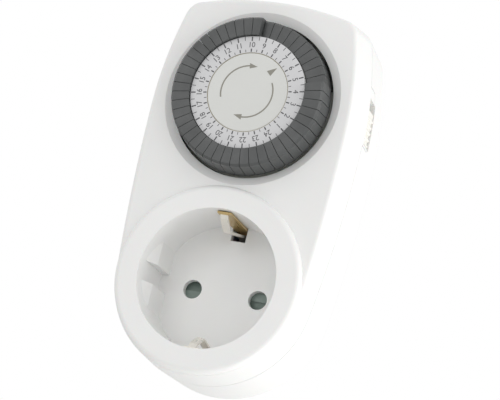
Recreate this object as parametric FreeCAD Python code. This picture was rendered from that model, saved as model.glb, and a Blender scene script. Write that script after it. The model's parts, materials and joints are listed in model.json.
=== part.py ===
import FreeCAD, Part
import math
import os

V = FreeCAD.Vector
os.makedirs("parts", exist_ok=True)

# Frame: millimetres, +Z up, front faces -Y. The origin is the middle of the plug face, between the two pins.

# Plug and socket sizes
pin_pitch = 19.0
plug_pin_radius = 2.4
plug_pin_length = 19.0
pin_root_length = 8.8
pin_tip_share = 0.7
pin_collar = 1.2
pin_collar_length = 2.0
boss_length = 17.0
boss_radius = 18.4
boss_face_wall = 2.5
boss_edge_round = 1.0
boss_flat_play = 0.6
rib_play = 0.25
well_radius = 19.4
well_depth = 18.2
well_wall = 1.8
floor_wall = 2.0
pin_hole_radius = 2.65
pad_half_width = 17.0
groove_width = 5.4
pad_start_depth = 3.5
pad_lead_in = 4.0
collar_radius = 26.0
collar_height = 2.0
pivot_radius = 1.5
pivot_length = 3.2

# Case sizes
case_depth = 29.0
front_cover_depth = 10.0
wall = 2.0
side_middle_z = 46.0
shoulder_radius = 110.0
top_arch_radius = 85.0
corner_radius = 5.0
front_outline = {"bottom": 26.4, "flare": 1.9, "top": 79.9}
parting_outline = {"bottom": 26.9, "flare": 3.4, "top": 80.9}
rear_outline = {"bottom": 26.5, "flare": 2.7, "top": 80.0}
front_edge_round = 1.2
rear_edge_round = 1.5
collar_edge_round = 1.5
parting_gap = 0.25

# Cuts run past the faces they open, and a box that must reach past the whole case goes this far
past = 1.0
beyond = 60.0
above = 120.0
hair = 0.001

# Dial sizes
dial_z = 51.6
hub_cap_radius = 11.2
dial_plate_radius = 16.0
dial_face_height = 5.0
dial_plate_thickness = 1.0
dish_radius = 24.8
dish_depth = 1.3
pin_count = 48
trip_inner_radius = 16.2
trip_outer_radius = 21.3
trip_base_radius = 21.8
trip_height = 7.0
trip_rise = 6.05
trip_travel = 2.5
trip_gap = 0.14
trip_chamfer = 0.6
ring_clearance = 0.6
shank_width = 1.1
shank_depth = 2.8
flange_thickness = 1.5
post_radius = 4.0
running_clearance = 0.05
dial_phase_degrees = 8.28
label_at_top = 10
first_lowered_hour = 5
last_lowered_hour = 9
pointer_hour = 6.73
carrier_wall = 1.4
carrier_rim_gap = 0.3
carrier_hub_wall = 3.0
slot_play = 0.1
cap_gap = 0.15
cap_thickness = 1.3
cap_edge_round = 0.25
cap_stem_radius = 2.4
cap_stem_length = 8.0

# Gear sizes
dial_module = 0.6
dial_teeth = 48
drive_teeth = 12
drive_pinion_bearing = 200.0
dial_gear_width = 2.2
train_module = 0.3
wheel_teeth = 36
leaf_teeth = 10
train_wheel_width = 0.8
train_level_step = 1.2
tooth_slack = 0.10
short_addendum = 0.9
pressure_angle = math.radians(20)

# Mechanism sizes
plate_thickness = 1.5
plate_half_width = 24.0
plate_bottom_z = 27.0
plate_top_z = 75.6
can_radius = 18.5
can_wall = 0.8
can_edge_round = 0.6
can_x = -7.0
rear_space = 3.4
bobbin_core_outer = 11.4
bobbin_core_wall = 0.8
bobbin_flange = 0.7
bobbin_length = 5.2
winding_gap = 0.6
magnet_radius = 9.8
axle_radius = 0.5
shaft_radius = 1.0
seat_gap = 0.3
hinge_x = 22.0
lever_half = 1.0
finger_half = 0.6
finger_offset = 0.5
finger_trim = 0.3
ear_half = 1.4
ear_height = 1.2
ear_gap = 2.7
lever_hub_radius = 1.5
lever_axle_radius = 0.73
lever_bore_radius = 0.78

# Contact and strip sizes
strip = 0.8
clip_strip = 0.6
clip_width = 4.0
tongue_width = 2.2
clip_wall_gap = 0.15
bar_width = 5.0
riser_half = 1.5
sleeve_bore = 2.45
sleeve_wall = 1.0
blade_thickness = 0.4
blade_width = 4.0
blade_x = 14.5
blade_root_z = 43.3
contact_radius = 1.4
contact_z = 58.5
contact_half = 1.8
bar_gap = 0.8
bar_low_z = -3.0
bar_end_height = 4.0
riser_top_z = 8.4
sleeve_back_depth = 11.6
sleeve_slit_half = 0.3
sleeve_slit_end = 4.0
boss_strip_z = 16.4
strip_play = 0.1
channel_play = 0.6
channel_wall = 1.7
slit_play = 0.2
clip_slot_play = 0.15
clip_slot_inner_z = 15.2
strip_end = 1.2
leg_bend_near = 4.0
leg_bend_far = 9.0
clip_front_depth = 2.4
link_gap = 0.9
link_width = 2.3
link_end_x = 1.5
feed_x = 15.0
feed_width = 3.0
feed_low_z = 22.0
feed_rise = 3.4
lead_radius = 0.7
lead_gap = 0.5

# Bends of the spring tongue: depth below the collar face, and drop from the leg towards the middle
tongue_bends = ((3.4, 1.3), (5.0, 2.25), (7.8, 3.75))
tongue_end_height = 1.2
tongue_end_drop = 1.75

# Shutter sizes
shutter_thickness = 1.8
shutter_hub_radius = 4.2
wing_half = 3.0
wing_reach = 3.2
ramp_inner = 3.0
ramp_outer = 4.0
ramp_start = 0.6
ramp_degrees = 10.0
spring_outer = 2.6
spring_inner = 1.7
spring_height = 0.9
spring_wire = 0.5
spring_arm_start = 2.2
spring_arm_end = 8.5

# Switch window and slider sizes
window_low_z = 46.5
window_high_z = 59.7
window_front = 1.0
window_depth_y = 7.4
slider_travel = 2.5
knob_length = 10.1
tab_margin_low = 0.5
tab_margin_high = 2.9
tab_reach = 6.5
rib_pitch = 1.75
rib_radius = 0.45
window_inner_x = 24.0
window_play = 0.3
slider_flange = 0.7
slider_sink = 0.45
slider_seat = 1.3
lug_low_z = 50.0
lug_high_z = 52.0
bump_low_z = 53.0
bump_high_z = 54.6

# Screw sizes
screw_boss_radius = 3.0
screw_radius = 1.2
screw_head_radius = 2.2
low_screw_x = 22.0
low_screw_z = 18.0
high_screw_x = 17.0
high_screw_z = 73.0
screw_head_height = 1.8
screw_sink = 2.6
screw_reach = 5.0
screw_play = 0.3
thread_play = 0.02
pilot_depth = 7.0
plate_screw_x = 20.5
plate_screw_z = 33.0
plate_boss_radius = 2.2
plate_screw_head_radius = 2.0
plate_screw_head_height = 1.4
cross_half_length = 1.2
cross_half_width = 0.3
cross_depth = 0.7

# Levels along Y, worked out from the sizes above
rear_face_y = -boss_length
front_face_y = rear_face_y - case_depth
collar_face_y = front_face_y - collar_height
parting_y = front_face_y + front_cover_depth
floor_y = collar_face_y + well_depth
floor_back_y = floor_y + floor_wall
dial_face_y = front_face_y - dial_face_height
trip_top_y = front_face_y - trip_rise
trip_base_y = trip_top_y + trip_height
flange_y = trip_base_y + trip_travel + 0.25
flange_back_y = flange_y + flange_thickness
tail_raised_y = flange_back_y + 0.2
tail_lowered_y = tail_raised_y + trip_travel
dial_gear_y = tail_lowered_y + 0.5
dial_gear_back_y = dial_gear_y + dial_gear_width
plate_y = dial_gear_back_y + 0.5
plate_back_y = plate_y + plate_thickness
can_back_y = rear_face_y - wall - rear_space
bar_front_y = can_back_y + bar_gap
bar_back_y = bar_front_y + strip
lead_y = can_back_y + lead_gap + lead_radius
pin_root_y = -pin_root_length
blade_y = plate_back_y + 3.0
bar_top_z = blade_root_z - seat_gap
sleeve_front_y = floor_back_y + 2.5
sleeve_outer = sleeve_bore + sleeve_wall
shutter_y = floor_back_y + 0.2
leg_z = well_radius - clip_wall_gap - clip_strip / 2 - strip_play
channel_floor_z = boss_strip_z - clip_strip / 2 - slit_play
boss_hollow_radius = channel_floor_z - channel_wall
trip_ring_radius = (trip_inner_radius + trip_base_radius) / 2 - 0.25
opening_radius = trip_base_radius + ring_clearance


# Solids along Y

def rod(radius, y0, y1, x=0.0, z=0.0):
    return Part.makeCylinder(radius, y1 - y0, V(x, y0, z), V(0, 1, 0))


def tube(outer, inner, y0, y1, x=0.0, z=0.0):
    return rod(outer, y0, y1, x, z).cut(rod(inner, y0 - past, y1 + past, x, z))


def block(x0, x1, y0, y1, z0, z1):
    return Part.makeBox(x1 - x0, y1 - y0, z1 - z0, V(x0, y0, z0))


def cone(radius0, radius1, y0, y1, x=0.0, z=0.0):
    return Part.makeCone(radius0, radius1, y1 - y0, V(x, y0, z), V(0, 1, 0))


def join(shapes):
    result = shapes[0]
    for shape in shapes[1:]:
        result = result.fuse(shape)
    return result.removeSplitter()


def turned(shape, degrees, x=0.0, z=0.0):
    # Positive degrees turn counter-clockwise as seen from the front.
    copy = shape.copy()
    copy.rotate(V(x, 0, z), V(0, 1, 0), -degrees)
    return copy


def flipped_z(shape):
    return shape.mirror(V(0, 0, 0), V(0, 0, 1))


def bearing(radius, degrees, x=0.0, z=0.0):
    a = math.radians(degrees)
    return x + radius * math.cos(a), z + radius * math.sin(a)


def save(name, shape):
    if shape.ShapeType == "Compound" and len(shape.Solids) == 1:
        shape = shape.Solids[0]
    shape.exportStep("parts/" + name + ".step")


# Case outline: a round bottom about the socket, long side arcs, rounded shoulders and an arched top

def circle_meeting(c1, r1, c2, r2):
    dx = c2[0] - c1[0]
    dz = c2[1] - c1[1]
    d = math.hypot(dx, dz)
    a = (r1 * r1 - r2 * r2 + d * d) / (2 * d)
    h = math.sqrt(r1 * r1 - a * a)
    first = (c1[0] + a * dx / d - h * dz / d, c1[1] + a * dz / d + h * dx / d)
    second = (c1[0] + a * dx / d + h * dz / d, c1[1] + a * dz / d - h * dx / d)
    return first if first[0] > second[0] else second


def pushed_out(centre, point, radius):
    dx = point[0] - centre[0]
    dz = point[1] - centre[1]
    d = math.hypot(dx, dz)
    return (centre[0] + radius * dx / d, centre[1] + radius * dz / d)


def half_width(shape):
    return shape["bottom"] + shape["flare"]


def outline(shape, y, inset=0.0):
    bottom = shape["bottom"] - inset
    half = bottom + shape["flare"]
    top = shape["top"] - inset
    shoulder = shoulder_radius - inset
    arch = top_arch_radius - inset
    corner = corner_radius - inset
    side = (half * half + side_middle_z ** 2 - bottom * bottom) / (2 * (half - bottom))
    side_centre = (half - side, side_middle_z)
    tangent = pushed_out(side_centre, (0, 0), side)
    low_side = pushed_out(side_centre, (half, side_middle_z / 2), side)
    shoulder_centre = (half - shoulder, side_middle_z)
    arch_centre = (0, top - arch)
    corner_centre = circle_meeting(shoulder_centre, shoulder - corner, arch_centre, arch - corner)
    corner_low = pushed_out(shoulder_centre, corner_centre, shoulder)
    corner_high = pushed_out(arch_centre, corner_centre, arch)
    corner_middle = pushed_out(corner_centre, (corner_low[0], corner_high[1]), corner)
    shoulder_middle = pushed_out(shoulder_centre, (half, (side_middle_z + corner_low[1]) / 2), shoulder)
    right = [tangent, low_side, (half, side_middle_z), shoulder_middle, corner_low, corner_middle, corner_high]
    left = [(-x, z) for x, z in reversed(right)]
    arcs = [(left[-1], (0, -bottom), right[0])]
    points = right + [(0, top)] + left
    for i in range(0, len(points) - 1, 2):
        arcs.append((points[i], points[i + 1], points[i + 2]))
    edges = [Part.Arc(*[V(x, y, z) for x, z in arc]).toShape() for arc in arcs]
    return Part.Wire(edges)


def drafted(a, y0, b, y1, inset=0.0):
    return Part.makeLoft([outline(a, y0, inset), outline(b, y1, inset)], True, True)


def edges_at(shape, y):
    found = []
    for edge in shape.Edges:
        box = edge.BoundBox
        if abs(box.YMin - y) < hair and abs(box.YMax - y) < hair:
            found.append(edge)
    return found


def case_front_solid():
    solid = drafted(front_outline, front_face_y, parting_outline, parting_y)
    return solid.makeFillet(front_edge_round, edges_at(solid, front_face_y))


def case_rear_solid():
    solid = drafted(parting_outline, parting_y, rear_outline, rear_face_y)
    return solid.makeFillet(rear_edge_round, edges_at(solid, rear_face_y))


def cavity():
    front = drafted(front_outline, front_face_y, parting_outline, parting_y, wall)
    rear = drafted(parting_outline, parting_y, rear_outline, rear_face_y, wall)
    span = block(-beyond, beyond, front_face_y + wall, rear_face_y - wall, -beyond, above)
    return front.fuse(rear).common(span)


def window_span():
    y0 = parting_y + window_front
    return block(window_inner_x, beyond, y0, y0 + window_depth_y, window_low_z, window_high_z)


def tab_span(grow=0.0):
    return block(window_inner_x - 2 * past, beyond, parting_y - past, parting_y + tab_reach + grow,
                 window_low_z - tab_margin_low - grow, window_high_z + tab_margin_high + grow)


def front_region(grow=0.0):
    half_space = block(-beyond, beyond, collar_face_y - past, parting_y + grow, -beyond, above)
    return half_space.fuse(tab_span(grow))


# Socket well

def well_space():
    open_round = rod(well_radius, collar_face_y - past, floor_y)
    pad_y = collar_face_y + pad_start_depth
    for side in (1, -1):
        for up in (1, -1):
            profile = [(pad_half_width, pad_y + pad_lead_in), (pad_half_width, floor_y + past),
                       (well_radius + past, floor_y + past), (well_radius + past, pad_y - past),
                       (well_radius, pad_y)]
            corners = [V(side * x, y, up * groove_width / 2) for x, y in profile]
            face = Part.Face(Part.makePolygon(corners + corners[:1]))
            open_round = open_round.cut(face.extrude(V(0, 0, up * well_radius)))
    return open_round


def clip_slots():
    half = clip_width / 2 + clip_slot_play
    slot = block(-half, half, floor_y - past, floor_back_y + past, clip_slot_inner_z,
                 well_radius - clip_wall_gap + strip_play)
    return slot.fuse(flipped_z(slot))


def pin_holes(radius, y0, y1):
    return rod(radius, y0, y1, pin_pitch / 2).fuse(rod(radius, y0, y1, -pin_pitch / 2))


# Screws and their bosses

def screw_places():
    return [(s * x, z) for x, z in ((low_screw_x, low_screw_z), (high_screw_x, high_screw_z)) for s in (1, -1)]


def plate_screw_places():
    return [(side * plate_screw_x, plate_screw_z) for side in (1, -1)]


def front_bosses():
    posts = [rod(screw_boss_radius, front_face_y + past, plate_y, x, z) for x, z in screw_places()[2:]]
    posts += [rod(screw_boss_radius, front_face_y + past, plate_back_y, x, z) for x, z in screw_places()[:2]]
    posts += [rod(plate_boss_radius, front_face_y + past, plate_y, x, z) for x, z in plate_screw_places()]
    return posts


def front_cover():
    shell = case_front_solid().fuse(case_rear_solid()).cut(cavity())
    shell = shell.common(front_region())
    collar = rod(collar_radius, collar_face_y, front_face_y + wall)
    collar = collar.makeFillet(collar_edge_round, edges_at(collar, collar_face_y))
    cup = rod(well_radius + well_wall, front_face_y, floor_back_y)
    pivot = rod(pivot_radius, floor_y + past, floor_back_y + pivot_length)
    cover = join([shell, collar, cup, pivot] + front_bosses())
    cover = cover.cut(well_space()).cut(clip_slots())
    cover = cover.cut(pin_holes(pin_hole_radius, floor_y - past, floor_back_y + past))
    dish_low = rod(opening_radius, front_face_y - past, front_face_y + wall + 0.5, 0, dial_z)
    dish = cone(dish_radius, opening_radius, front_face_y - hair, front_face_y + dish_depth, 0, dial_z)
    cover = cover.cut(dish_low).cut(dish).cut(window_span())
    for x, z in screw_places() + plate_screw_places():
        cover = cover.cut(rod(screw_radius, plate_y - pilot_depth, plate_back_y + past, x, z))
    return cover.cut(collar_trim())


def collar_trim():
    # The bosses are kept inside the case wall by trimming what stands out of the front.
    return block(-beyond, beyond, collar_face_y - past, collar_face_y, -beyond, above)


# Rear cover with the plug boss

def boss_flats(radius, half):
    solid = rod(radius, rear_face_y - past, 0)
    solid = solid.makeFillet(boss_edge_round, edges_at(solid, 0))
    for side in (1, -1):
        for up in (1, -1):
            low = groove_width / 2 - rib_play
            cutter = block(min(side * half, side * beyond), max(side * half, side * beyond), rear_face_y, past,
                           min(up * low, up * beyond), max(up * low, up * beyond))
            solid = solid.cut(cutter)
    return solid


def earth_channels():
    half = clip_width / 2 + channel_play
    slit_half = clip_width / 2 + slit_play
    channel = block(-half, half, rear_face_y, past, channel_floor_z, beyond)
    slit = block(-slit_half, slit_half, rear_face_y - wall - past, rear_face_y + past,
                 channel_floor_z, boss_strip_z + clip_strip / 2 + slit_play)
    both = channel.fuse(slit)
    return both.fuse(flipped_z(both))


def rear_cover():
    shell = case_front_solid().fuse(case_rear_solid()).cut(cavity())
    shell = shell.cut(front_region(parting_gap))
    boss = boss_flats(boss_radius, pad_half_width - boss_flat_play)
    tubes = [rod(screw_boss_radius, plate_back_y, rear_face_y - past, x, z) for x, z in screw_places()]
    cover = join([shell, boss] + tubes)
    cover = cover.cut(rod(boss_hollow_radius, rear_face_y - wall - past, -boss_face_wall))
    cover = cover.cut(earth_channels())
    cover = cover.cut(pin_holes(plug_pin_radius + running_clearance, -boss_face_wall - past, past))
    cover = cover.cut(window_span())
    for x, z in screw_places():
        cover = cover.cut(rod(screw_radius + screw_play, plate_back_y - past, rear_face_y + past, x, z))
        cover = cover.cut(rod(screw_head_radius + screw_play, rear_face_y - screw_sink, rear_face_y + past, x, z))
    return cover


def screw(x, z, y_tip, y_head, head_radius, head_height):
    body = rod(screw_radius - thread_play, y_tip, y_head, x, z)
    head = rod(head_radius, y_head, y_head + head_height, x, z)
    top = y_head + head_height
    cross = block(x - cross_half_length, x + cross_half_length, top - cross_depth, top + past,
                  z - cross_half_width, z + cross_half_width)
    cross = cross.fuse(turned(cross, 90, x, z))
    return body.fuse(head).cut(cross)


def case_screws():
    head_y = rear_face_y - screw_sink
    return Part.makeCompound([screw(x, z, plate_y - screw_reach, head_y, screw_head_radius, screw_head_height)
                              for x, z in screw_places()])


def plate_screws():
    tip_y = plate_y - screw_reach
    return Part.makeCompound([screw(x, z, tip_y, plate_back_y, plate_screw_head_radius, plate_screw_head_height)
                              for x, z in plate_screw_places()])


# Plug pins, sleeves and bars

def plug_pin(x):
    shank = rod(plug_pin_radius, pin_root_y, plug_pin_length, x)
    shank = shank.makeFillet(plug_pin_radius * pin_tip_share, edges_at(shank, plug_pin_length))
    collar_y = -boss_face_wall - pin_collar_length
    return shank.fuse(rod(plug_pin_radius + pin_collar, collar_y, -boss_face_wall, x))


def sleeve(x, back_y):
    barrel = tube(sleeve_outer, sleeve_bore, sleeve_front_y, back_y, x)
    end = rod(sleeve_outer, back_y - strip, back_y, x)
    slit = block(x - sleeve_slit_half, x + sleeve_slit_half, sleeve_front_y - past, back_y - sleeve_slit_end,
                 -sleeve_outer - past, sleeve_outer + past)
    return barrel.cut(slit).fuse(end)


def line_bar():
    x = pin_pitch / 2
    half = bar_width / 2
    pieces = [
        block(x - half, x + riser_half, pin_root_y - strip, pin_root_y, bar_low_z, riser_top_z),
        block(x - half, x + riser_half, bar_front_y, pin_root_y, riser_top_z - strip, riser_top_z),
        block(x - half, x + riser_half, bar_front_y, bar_back_y, riser_top_z - strip, bar_top_z),
        block(x - half, blade_x + blade_width / 2, bar_front_y, bar_back_y, bar_top_z - bar_end_height, bar_top_z),
        block(blade_x - blade_width / 2, blade_x + blade_width / 2, blade_y, bar_back_y,
              bar_top_z - strip, bar_top_z),
    ]
    return join(pieces)


def neutral_link():
    x = -pin_pitch / 2
    half = bar_width / 2
    plate = block(x - riser_half, x + half, pin_root_y - strip, pin_root_y, bar_low_z, riser_top_z)
    riser = block(x - riser_half, x + half, bar_front_y, pin_root_y, riser_top_z - strip, riser_top_z)
    return join([plate, riser])


# Earth strips: one bent strip from the boss contact to the spring tongue in the well

def bent_strip(points, thickness, width):
    wire = Part.makePolygon([V(-width / 2, y, z) for y, z in points])
    return wire.makeOffset2D(thickness / 2, join=0, fill=True).extrude(V(width, 0, 0))


def earth_strip():
    front_y = collar_face_y + clip_front_depth
    leg = [(-strip_end, boss_strip_z), (rear_face_y - leg_bend_near, boss_strip_z),
           (rear_face_y - leg_bend_far, leg_z), (front_y, leg_z)]
    tongue = [(front_y, leg_z)] + [(collar_face_y + depth, leg_z - drop) for depth, drop in tongue_bends]
    tongue.append((floor_y + tongue_end_height, leg_z - tongue_end_drop))
    return join([bent_strip(leg, clip_strip, clip_width), bent_strip(tongue, clip_strip, tongue_width)])


def earth_link():
    # A half ring between the two strips, cut out round the neutral riser.
    y0 = rear_face_y - wall - link_gap
    y1 = y0 + strip
    outer = boss_strip_z - clip_strip / 2
    ring = tube(outer, outer - link_width, y0, y1)
    riser_x = -pin_pitch / 2
    gap_half = bar_width / 2 + seat_gap
    ring = ring.cut(block(riser_x - gap_half, riser_x + gap_half, y0 - past, y1 + past,
                          riser_top_z - strip - seat_gap, riser_top_z + seat_gap))
    return ring.common(block(-beyond, link_end_x, y0 - past, y1 + past, -beyond, beyond))


# Safety shutter behind the pin holes

def shutter():
    wing = block(0, pin_pitch / 2 + wing_reach, shutter_y, shutter_y + shutter_thickness, -wing_half, wing_half)
    ramp = block(pin_pitch / 2 - ramp_inner, pin_pitch / 2 + ramp_outer, shutter_y - past, shutter_y + ramp_start,
                 -wing_half - past, 0)
    ramp.rotate(V(0, shutter_y, 0), V(1, 0, 0), ramp_degrees)
    wing = wing.cut(ramp)
    both = wing.fuse(turned(wing, 180))
    disc = rod(shutter_hub_radius, shutter_y, shutter_y + shutter_thickness)
    bore = rod(pivot_radius + running_clearance, shutter_y - past, shutter_y + shutter_thickness + past)
    return join([both, disc]).cut(bore)


def shutter_spring():
    y0 = shutter_y + shutter_thickness + 0.15
    coil = tube(spring_outer, spring_inner, y0, y0 + spring_height)
    arm = block(0, spring_wire, y0, y0 + spring_wire, spring_arm_start, spring_arm_end)
    return coil.fuse(arm)


# Gears

def gear(teeth, module, y0, y1, x, z, start_degrees, addendum=1.0):
    pitch = teeth * module / 2
    base = pitch * math.cos(pressure_angle)
    tip = pitch + module * addendum
    root = pitch - module * 1.25
    flat = math.tan(pressure_angle) - pressure_angle
    slack = tooth_slack * module

    def half_angle(radius):
        used = max(radius, base)
        bend = math.acos(base / used)
        return math.pi / (2 * teeth) - slack / pitch + flat - (math.tan(bend) - bend)

    radii = [root, max(base, root + 0.02), pitch, tip]
    points = []
    for i in range(teeth):
        middle = math.radians(start_degrees) + 2 * math.pi * i / teeth
        sides = [(r, middle - half_angle(r)) for r in radii]
        sides += [(r, middle + half_angle(r)) for r in reversed(radii)]
        points += [V(x + r * math.cos(a), y0, z + r * math.sin(a)) for r, a in sides]
    face = Part.Face(Part.makePolygon(points + points[:1]))
    return face.extrude(V(0, y1 - y0, 0))


def meshing_start(bearing_degrees, teeth):
    # A tooth gap of this wheel points at its mate, which has a tooth pointing back.
    return bearing_degrees + 180.0 / teeth


# Dial

def hour_angle(hour):
    return 90.0 + dial_phase_degrees + (hour - label_at_top) * 360.0 / 24


def trip_pin(middle_degrees, depth):
    profile = [(trip_inner_radius, trip_top_y), (trip_outer_radius - trip_chamfer, trip_top_y),
               (trip_outer_radius, trip_top_y + trip_chamfer), (trip_base_radius, trip_base_y),
               (trip_inner_radius, trip_base_y)]
    corners = [V(r, y, 0) for r, y in profile]
    pitch = 360.0 / pin_count
    span = pitch - math.degrees(trip_gap / trip_ring_radius)
    head = Part.Face(Part.makePolygon(corners + corners[:1])).revolve(V(0, 0, 0), V(0, 1, 0), span)
    head.rotate(V(0, 0, 0), V(0, 1, 0), -span / 2)
    shank = block(trip_ring_radius - shank_depth / 2, trip_ring_radius + shank_depth / 2,
                  trip_base_y - past, tail_raised_y, -shank_width / 2, shank_width / 2)
    pin = head.fuse(shank)
    pin.rotate(V(0, 0, 0), V(0, 1, 0), -middle_degrees)
    pin.translate(V(0, depth, dial_z))
    return pin


def trip_pair(hour):
    lowered = first_lowered_hour <= hour <= last_lowered_hour
    depth = trip_travel if lowered else 0.0
    quarter = 360.0 / pin_count / 2
    middle = hour_angle(hour)
    return Part.makeCompound([trip_pin(middle - quarter, depth), trip_pin(middle + quarter, depth)])


def dial_carrier():
    plate_back = dial_face_y + dial_plate_thickness
    inner_rim = hub_cap_radius + carrier_rim_gap
    skirt_inner = dial_plate_radius - carrier_wall
    pieces = [
        tube(dial_plate_radius, inner_rim, plate_back, plate_back + carrier_wall, 0, dial_z),
        tube(dial_plate_radius, skirt_inner, plate_back, flange_y + 0.5, 0, dial_z),
        rod(trip_base_radius, flange_y, flange_back_y, 0, dial_z),
        rod(post_radius + carrier_hub_wall, flange_y, dial_gear_back_y, 0, dial_z),
        gear(dial_teeth, dial_module, dial_gear_y, dial_gear_back_y, 0, dial_z,
             meshing_start(drive_pinion_bearing, dial_teeth), short_addendum),
    ]
    carrier = join(pieces)
    carrier = carrier.cut(rod(post_radius + running_clearance, plate_back - past, dial_gear_back_y + past, 0, dial_z))
    slot = block(trip_ring_radius - shank_depth / 2 - slot_play, trip_ring_radius + shank_depth / 2 + slot_play,
                 flange_y - past, flange_back_y + past, -shank_width / 2 - slot_play, shank_width / 2 + slot_play)
    slots = []
    for i in range(pin_count):
        middle = hour_angle(0) + (i + 0.5) * 360.0 / pin_count
        copy = turned(slot, middle)
        copy.translate(V(0, 0, dial_z))
        slots.append(copy)
    return carrier.cut(slots)


def dial_plate():
    back_y = dial_face_y + dial_plate_thickness
    return tube(dial_plate_radius, hub_cap_radius + cap_gap, dial_face_y, back_y, 0, dial_z)


def hub_cap():
    disc = rod(hub_cap_radius, dial_face_y, dial_face_y + cap_thickness, 0, dial_z)
    disc = disc.makeFillet(cap_edge_round, edges_at(disc, dial_face_y))
    stem = rod(cap_stem_radius, dial_face_y + past, dial_face_y + cap_stem_length, 0, dial_z)
    return disc.fuse(stem)


# Mechanism plate with the dial post

follower_z = dial_z + trip_ring_radius * math.sin(math.radians(hour_angle(pointer_hour)))
follower_x = trip_ring_radius * math.cos(math.radians(hour_angle(pointer_hour)))
hinge_y = plate_y + 0.3
drive_distance = dial_module * (dial_teeth + drive_teeth) / 2
drive_x, drive_z = bearing(drive_distance, drive_pinion_bearing, 0, dial_z)
can_z = dial_z
train_link = train_module * (wheel_teeth + leaf_teeth) / 2


def train_places():
    # Rotor, wheel a, wheel b and the output shaft form a trapezoid with three equal links.
    dx = drive_x - can_x
    dz = drive_z - can_z
    far = math.hypot(dx, dz)
    ux = dx / far
    uz = dz / far
    along = (far - train_link) / 2
    rise = math.sqrt(train_link ** 2 - along ** 2)
    nx = uz
    nz = -ux
    first = (can_x + along * ux + rise * nx, can_z + along * uz + rise * nz)
    second = (drive_x - along * ux + rise * nx, drive_z - along * uz + rise * nz)
    return first, second


wheel_a_place, wheel_b_place = train_places()
level_three_y = plate_back_y + 1.2
level_two_y = level_three_y + train_level_step
level_one_y = level_two_y + train_level_step


def mechanism_plate():
    base = block(-plate_half_width, plate_half_width, plate_y, plate_back_y, plate_bottom_z, plate_top_z)
    base = base.common(cavity_plan())
    post = rod(post_radius, dial_face_y + 1.5, plate_y + 0.5, 0, dial_z)
    shoulder = rod(post_radius + 2, plate_y - 0.4, plate_y + 0.5, 0, dial_z)
    plate = join([base, post, shoulder])
    for low in (follower_z - ear_gap - ear_height, follower_z + ear_gap):
        ear = block(hinge_x - ear_half, hinge_x + ear_half, hinge_y - ear_half, plate_back_y,
                    low, low + ear_height)
        plate = plate.fuse(ear)
    stem_end_y = dial_face_y + cap_stem_length + 0.5
    plate = plate.cut(rod(cap_stem_radius + running_clearance, dial_face_y - past, stem_end_y, 0, dial_z))
    plate = plate.cut(block(follower_x - 1.4, hinge_x + 2.0, plate_y - 3, plate_back_y + past,
                            follower_z - 2.6, follower_z + 2.6))
    plate = plate.cut(Part.makeCylinder(0.75, 12, V(hinge_x, hinge_y, follower_z - 6), V(0, 0, 1)))
    for x, z in screw_places() + plate_screw_places():
        plate = plate.cut(rod(screw_radius + 0.1, plate_y - past, plate_back_y + past, x, z))
    for x, z in (wheel_a_place, wheel_b_place):
        plate = plate.cut(rod(axle_radius + 0.02, plate_y - past, plate_back_y + past, x, z))
    return plate.cut(rod(shaft_radius + running_clearance, plate_y - past, plate_back_y + past, drive_x, drive_z))


def cavity_plan():
    # What fits inside the walls at every depth, with a small gap.
    inner = outline(rear_outline, plate_y, wall + seat_gap)
    return Part.Face(inner).extrude(V(0, plate_thickness, 0))


def motor_can():
    can = rod(can_radius, plate_back_y, can_back_y, can_x, can_z)
    can = can.makeFillet(can_edge_round, edges_at(can, can_back_y))
    return can.cut(rod(can_radius - can_wall, plate_back_y - past, can_back_y - can_wall, can_x, can_z))


def coil_bobbin():
    y1 = can_back_y - can_wall
    y0 = y1 - bobbin_length
    outer = can_radius - can_wall - seat_gap
    inner = bobbin_core_outer - bobbin_core_wall
    core = tube(bobbin_core_outer, inner, y0, y1, can_x, can_z)
    front = tube(outer, inner, y0, y0 + bobbin_flange, can_x, can_z)
    back = tube(outer, inner, y1 - bobbin_flange, y1, can_x, can_z)
    return join([core, front, back])


def coil_winding():
    y1 = can_back_y - can_wall - bobbin_flange
    y0 = y1 - bobbin_length + 2 * bobbin_flange
    outer = can_radius - can_wall - seat_gap - winding_gap
    return tube(outer, bobbin_core_outer, y0, y1, can_x, can_z)


def rotor():
    magnet = rod(magnet_radius, level_one_y + train_wheel_width + 0.8, can_back_y - can_wall - 0.6, can_x, can_z)
    leaf = gear(leaf_teeth, train_module, level_one_y - 0.1, level_one_y + train_wheel_width + 0.9, can_x, can_z,
                bearing_between((can_x, can_z), wheel_a_place), short_addendum)
    return join([magnet, leaf]).cut(rod(axle_radius + 0.04, level_one_y - 2, can_back_y, can_x, can_z))


def bearing_between(a, b):
    return math.degrees(math.atan2(b[1] - a[1], b[0] - a[0]))


def compound_wheel(place, mate_before, mate_after, wheel_y):
    x, z = place
    start = meshing_start(bearing_between(place, mate_before), wheel_teeth)
    wheel = gear(wheel_teeth, train_module, wheel_y, wheel_y + train_wheel_width, x, z, start, short_addendum)
    leaf = gear(leaf_teeth, train_module, wheel_y - train_level_step - 0.1, wheel_y + 0.1, x, z,
                bearing_between(place, mate_after), short_addendum)
    return join([wheel, leaf]).cut(rod(axle_radius + 0.04, wheel_y - 3, wheel_y + 3, x, z))


def reduction_wheel_a():
    return compound_wheel(wheel_a_place, (can_x, can_z), wheel_b_place, level_one_y)


def reduction_wheel_b():
    return compound_wheel(wheel_b_place, wheel_a_place, (drive_x, drive_z), level_two_y)


def output_wheel():
    start = meshing_start(bearing_between((drive_x, drive_z), wheel_b_place), wheel_teeth)
    wheel = gear(wheel_teeth, train_module, level_three_y, level_three_y + train_wheel_width, drive_x, drive_z,
                 start, short_addendum)
    shaft = rod(shaft_radius, dial_gear_y, level_three_y + train_wheel_width, drive_x, drive_z)
    return join([wheel, shaft])


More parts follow.
